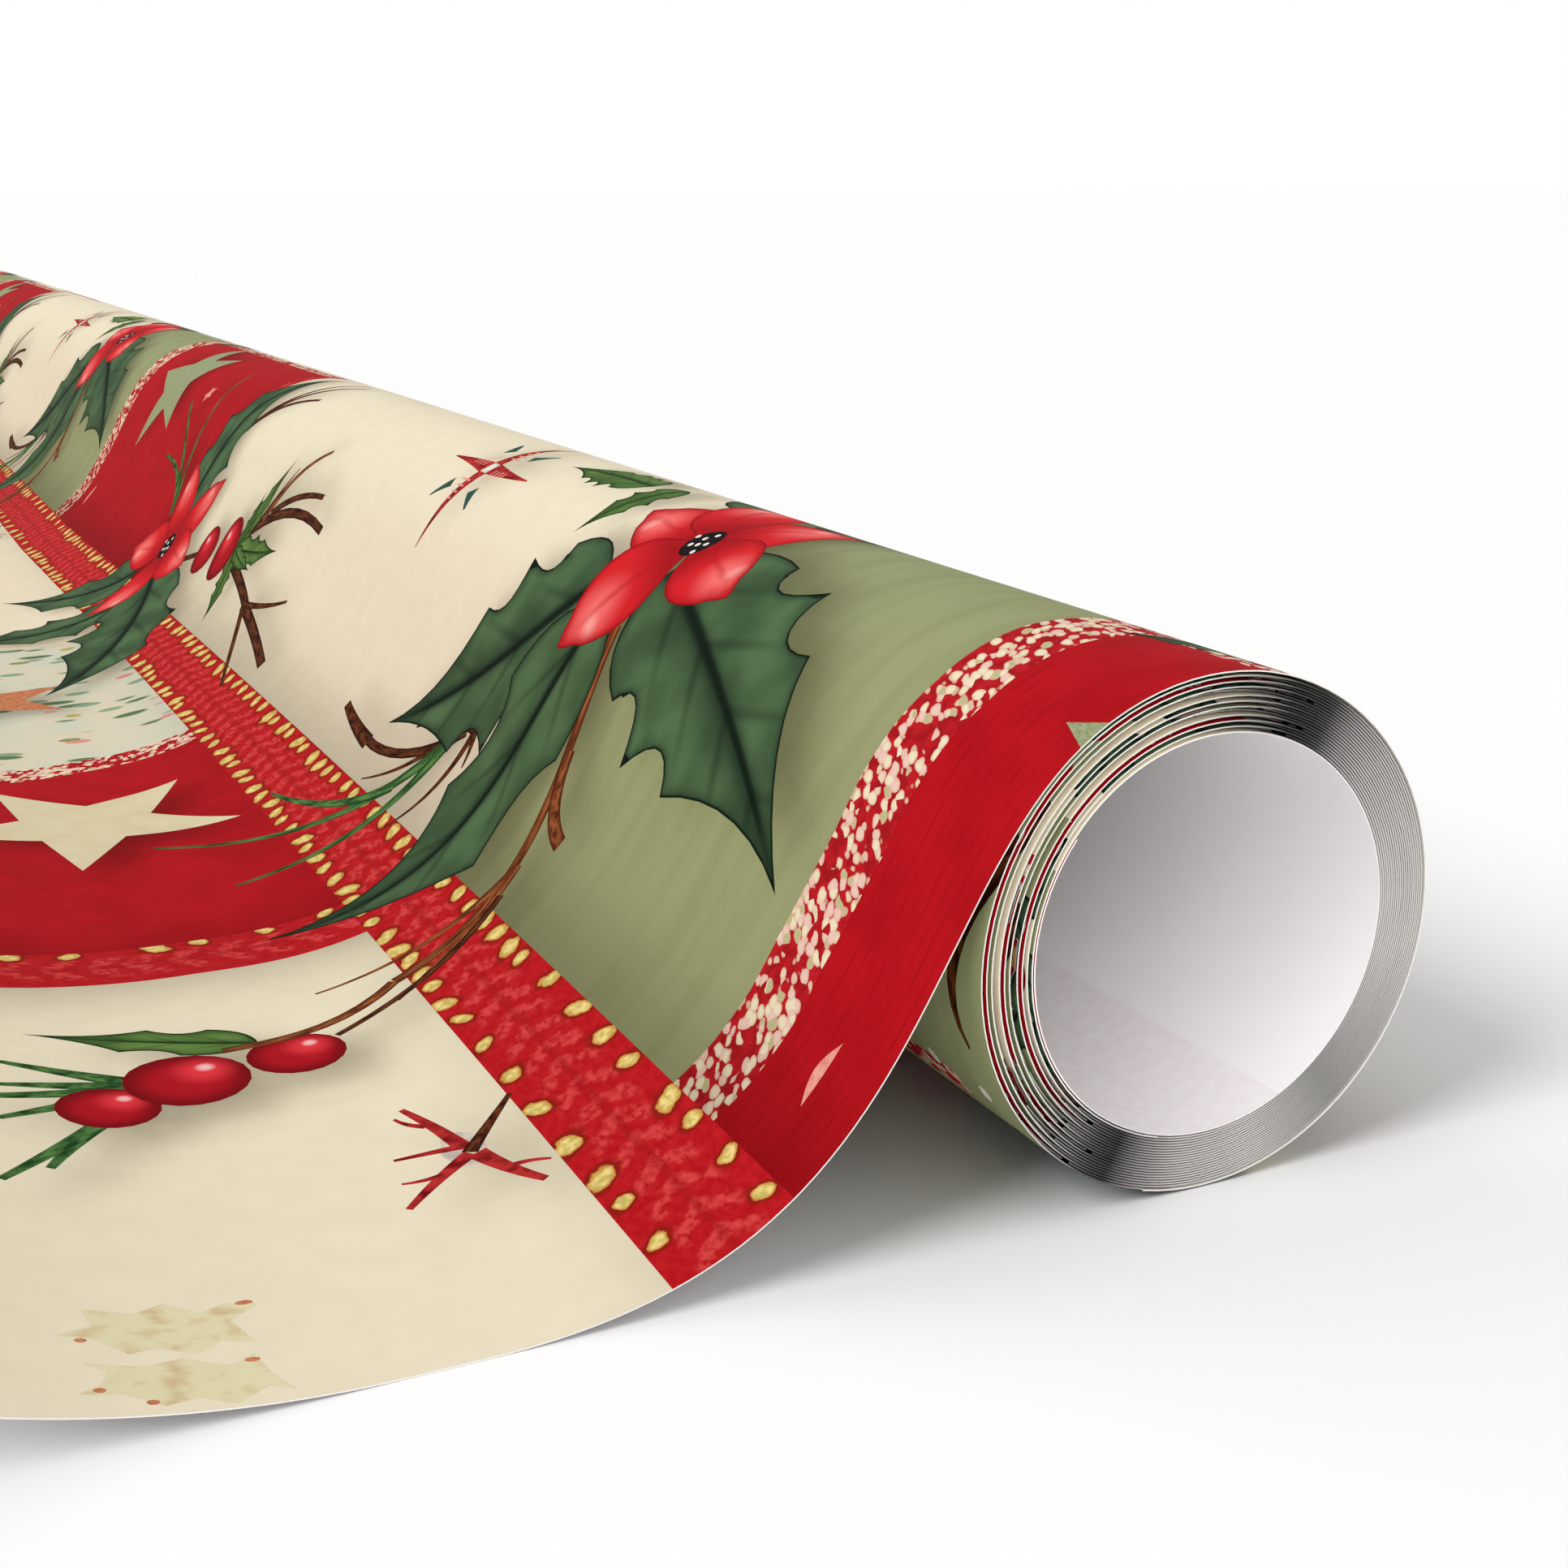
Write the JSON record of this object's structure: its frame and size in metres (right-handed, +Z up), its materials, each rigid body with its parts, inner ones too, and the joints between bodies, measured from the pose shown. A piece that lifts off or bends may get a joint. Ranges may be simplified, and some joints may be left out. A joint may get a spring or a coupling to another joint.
{
  "type": "wrapping paper roll",
  "caption": "Coreless roll of printed gift wrapping paper, partly unrolled: the sheet leaves the top in a smooth curve, lies flat, then curls up again at its cut end.",
  "frame": {"origin": "bottom centre of the box that holds the roll and its unrolled sheet, on the table", "axes": "+Y along the roll's axis, away from the end that shows its spiral towards the far end; +Z up; the sheet leaves the top of the roll towards -X, so the roll lies on the +X side"},
  "size_m": [0.1448, 0.762, 0.037],
  "materials": {
    "printed_sheet": "smooth coated paper, printed on the outer side in red, sage green, cream and gold, plain white on the back",
    "wound_paper": "the same coated paper, wound: printed outside, white inside, white cut edges"
  },
  "bodies": {
    "roll": {"wrap_under": "printed_sheet", "wrap_side": "printed_sheet", "wrap_over": "printed_sheet", "lead_out": "printed_sheet"},
    "laid_sheet": {"laid_sheet": "printed_sheet"},
    "free_end": {"free_end": "printed_sheet"},
    "coil": {"turn_21": "wound_paper"},
    "turn_20": {"turn_20": "wound_paper"},
    "turn_19": {"turn_19": "wound_paper"},
    "turn_18": {"turn_18": "wound_paper"},
    "turn_17": {"turn_17": "wound_paper"},
    "turn_16": {"turn_16": "wound_paper"},
    "turn_15": {"turn_15": "wound_paper"},
    "turn_14": {"turn_14": "wound_paper"},
    "turn_13": {"turn_13": "wound_paper"},
    "turn_12": {"turn_12": "wound_paper"},
    "turn_11": {"turn_11": "wound_paper"},
    "turn_10": {"turn_10": "wound_paper"},
    "turn_09": {"turn_09": "wound_paper"},
    "turn_08": {"turn_08": "wound_paper"},
    "turn_07": {"turn_07": "wound_paper"},
    "turn_06": {"turn_06": "wound_paper"},
    "turn_05": {"turn_05": "wound_paper"},
    "turn_04": {"turn_04": "wound_paper"},
    "turn_03": {"turn_03": "wound_paper"},
    "turn_02": {"turn_02": "wound_paper"},
    "turn_01": {"turn_01": "wound_paper"}
  },
  "joints": [
    {"name": "pull_out", "type": "slide", "parent": "roll", "child": "laid_sheet", "axis": [-1, 0, 0], "range_m": [0, 0.03], "deforming": ["lead_out"]},
    {"name": "roll_spin", "type": "hinge", "parent": "roll", "child": "coil", "pos_m": [0.05388, 0, 0.0185], "axis": [0, -1, 0], "range_deg": [0, 95]},
    {"name": "free_end_lift", "type": "hinge", "parent": "laid_sheet", "child": "free_end", "pos_m": [-0.0025, 0, 0], "axis": [0, 1, 0], "range_deg": [0, 90]},
    {"name": "core_slide", "type": "slide", "parent": "coil", "child": "turn_01", "axis": [0, -1, 0], "range_m": [0, 0.06]},
    {"name": "slide_02", "type": "slide", "parent": "coil", "child": "turn_02", "axis": [0, -1, 0], "range_m": [0, 0.0571]},
    {"name": "slide_03", "type": "slide", "parent": "coil", "child": "turn_03", "axis": [0, -1, 0], "range_m": [0, 0.0541]},
    {"name": "slide_04", "type": "slide", "parent": "coil", "child": "turn_04", "axis": [0, -1, 0], "range_m": [0, 0.0511]},
    {"name": "slide_05", "type": "slide", "parent": "coil", "child": "turn_05", "axis": [0, -1, 0], "range_m": [0, 0.0481]},
    {"name": "slide_06", "type": "slide", "parent": "coil", "child": "turn_06", "axis": [0, -1, 0], "range_m": [0, 0.0451]},
    {"name": "slide_07", "type": "slide", "parent": "coil", "child": "turn_07", "axis": [0, -1, 0], "range_m": [0, 0.0421]},
    {"name": "slide_08", "type": "slide", "parent": "coil", "child": "turn_08", "axis": [0, -1, 0], "range_m": [0, 0.0391]},
    {"name": "slide_09", "type": "slide", "parent": "coil", "child": "turn_09", "axis": [0, -1, 0], "range_m": [0, 0.0361]},
    {"name": "slide_10", "type": "slide", "parent": "coil", "child": "turn_10", "axis": [0, -1, 0], "range_m": [0, 0.0331]},
    {"name": "slide_11", "type": "slide", "parent": "coil", "child": "turn_11", "axis": [0, -1, 0], "range_m": [0, 0.0301]},
    {"name": "slide_12", "type": "slide", "parent": "coil", "child": "turn_12", "axis": [0, -1, 0], "range_m": [0, 0.0271]},
    {"name": "slide_13", "type": "slide", "parent": "coil", "child": "turn_13", "axis": [0, -1, 0], "range_m": [0, 0.0241]},
    {"name": "slide_14", "type": "slide", "parent": "coil", "child": "turn_14", "axis": [0, -1, 0], "range_m": [0, 0.0211]},
    {"name": "slide_15", "type": "slide", "parent": "coil", "child": "turn_15", "axis": [0, -1, 0], "range_m": [0, 0.0181]},
    {"name": "slide_16", "type": "slide", "parent": "coil", "child": "turn_16", "axis": [0, -1, 0], "range_m": [0, 0.0151]},
    {"name": "slide_17", "type": "slide", "parent": "coil", "child": "turn_17", "axis": [0, -1, 0], "range_m": [0, 0.0121]},
    {"name": "slide_18", "type": "slide", "parent": "coil", "child": "turn_18", "axis": [0, -1, 0], "range_m": [0, 0.0091]},
    {"name": "slide_19", "type": "slide", "parent": "coil", "child": "turn_19", "axis": [0, -1, 0], "range_m": [0, 0.0061]},
    {"name": "slide_20", "type": "slide", "parent": "coil", "child": "turn_20", "axis": [0, -1, 0], "range_m": [0, 0.0031]}
  ],
  "couplings": [
    {"joint": "roll_spin", "follows": "pull_out", "rad_per_m": 54.2},
    {"joint": "slide_02", "follows": "core_slide", "ratio": 0.95},
    {"joint": "slide_03", "follows": "core_slide", "ratio": 0.9},
    {"joint": "slide_04", "follows": "core_slide", "ratio": 0.85},
    {"joint": "slide_05", "follows": "core_slide", "ratio": 0.8},
    {"joint": "slide_06", "follows": "core_slide", "ratio": 0.75},
    {"joint": "slide_07", "follows": "core_slide", "ratio": 0.7},
    {"joint": "slide_08", "follows": "core_slide", "ratio": 0.65},
    {"joint": "slide_09", "follows": "core_slide", "ratio": 0.6},
    {"joint": "slide_10", "follows": "core_slide", "ratio": 0.55},
    {"joint": "slide_11", "follows": "core_slide", "ratio": 0.5},
    {"joint": "slide_12", "follows": "core_slide", "ratio": 0.45},
    {"joint": "slide_13", "follows": "core_slide", "ratio": 0.4},
    {"joint": "slide_14", "follows": "core_slide", "ratio": 0.35},
    {"joint": "slide_15", "follows": "core_slide", "ratio": 0.3},
    {"joint": "slide_16", "follows": "core_slide", "ratio": 0.25},
    {"joint": "slide_17", "follows": "core_slide", "ratio": 0.2},
    {"joint": "slide_18", "follows": "core_slide", "ratio": 0.15},
    {"joint": "slide_19", "follows": "core_slide", "ratio": 0.1},
    {"joint": "slide_20", "follows": "core_slide", "ratio": 0.05}
  ]
}
